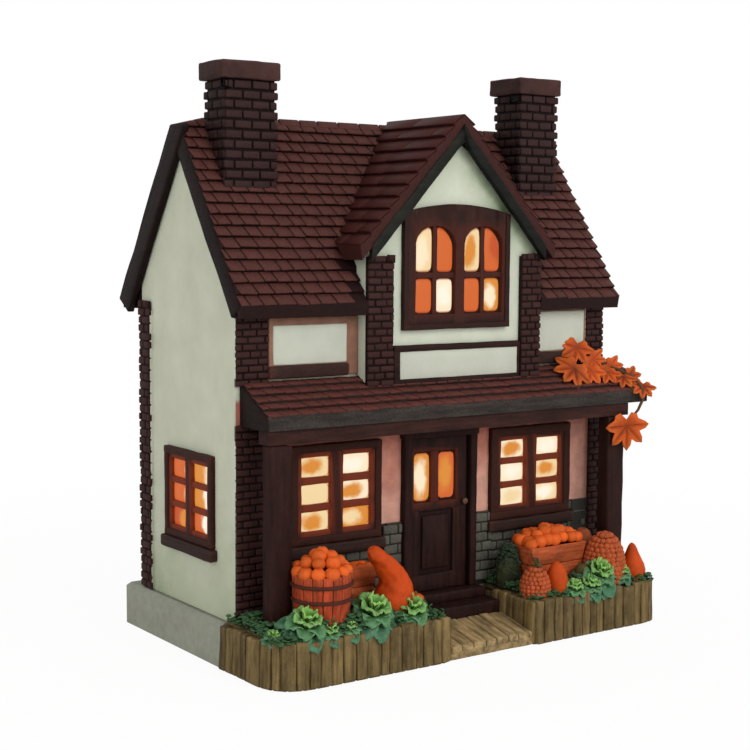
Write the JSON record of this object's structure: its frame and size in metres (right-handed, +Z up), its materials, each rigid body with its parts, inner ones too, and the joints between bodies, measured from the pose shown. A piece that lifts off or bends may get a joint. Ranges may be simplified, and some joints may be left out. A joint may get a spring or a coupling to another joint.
{
  "type": "lighted halloween house figurine",
  "caption": "Battery-lit autumn cottage figurine: tiled roof with a cross gable and brick chimneys, glowing windows, a porch, and pumpkins, gourds and kale in planked beds.",
  "frame": {"origin": "middle of the bounding box at the table", "axes": "+X to the right along the front, +Y to the back of the house, +Z up"},
  "size_m": [0.2032, 0.133, 0.2389],
  "materials": {
    "plaster": "satin painted plaster with a green wash",
    "timber": "dark painted resin timber",
    "brick": "dark painted resin brick",
    "tile": "burgundy painted resin tiles with lighter edges",
    "stone": "rough grey cast stone",
    "plank": "weathered grey-brown boards",
    "orange": "satin painted pumpkins and gourds",
    "rust": "bumpy rust-painted resin",
    "greens": "painted kale leaves with yellow-green hearts",
    "glow": "translucent warm diffuser",
    "plastic": "black moulded plastic",
    "metal": "nickel-plated sheet and spring wire",
    "jacket": "printed battery jacket",
    "board": "green circuit board",
    "knob": "aged brass"
  },
  "bodies": {
    "house": {"plinth": "stone", "base_plate": "plastic", "battery_box": "plastic", "battery_cell_1": "jacket", "battery_cell_2": "jacket", "contact_negative": "metal", "contact_positive": "metal", "contact_bridge": "metal", "switch_body": "metal", "light_board": "board", "lamp_left": "glow", "lamp_right": "glow", "lamp_lead": "plastic", "house_body": "plaster", "porch_window_left": "timber", "porch_window_right": "timber", "side_window_left": "timber", "side_window_right": "timber", "glow_sheet_front": "glow", "glow_sheet_left": "glow", "glow_sheet_right": "glow", "door_frame": "timber", "front_door": "timber", "door_knob": "knob", "main_roof": "tile", "gable_roof": "tile", "rake_board_left": "timber", "rake_board_right": "timber", "chimney_left": "brick", "chimney_right": "brick", "porch_roof": "tile", "porch_beam": "timber", "porch_post_left": "timber", "porch_post_right": "timber", "planter_left": "plank", "planter_right": "plank", "front_step": "plank", "gable_bay": "plaster", "gable_window": "timber", "glow_sheet_gable": "glow", "gable_bargeboard": "timber", "brick_pier_left": "brick", "brick_pier_right": "brick", "gable_panel": "timber", "wall_panel_left": "timber", "wall_panel_right": "timber", "harvest_basket": "orange", "crate_left": "plank", "crookneck_gourd": "orange", "small_pumpkin": "orange", "kale_left": "greens", "crate_right": "orange", "cone_back": "rust", "cone_front": "rust", "gourd_front": "orange", "gourd_corner": "orange", "kale_right": "greens", "maple_vine": "orange"},
    "battery_door": {"battery_door": "plastic"},
    "switch": {"switch_slider": "plastic"}
  },
  "joints": [
    {"name": "battery_door_slide", "type": "slide", "parent": "house", "child": "battery_door", "axis": [1, 0, 0], "range_m": [0, 0.058]},
    {"name": "switch_slide", "type": "slide", "parent": "house", "child": "switch", "axis": [1, 0, 0], "range_m": [-0.004, 0]}
  ]
}
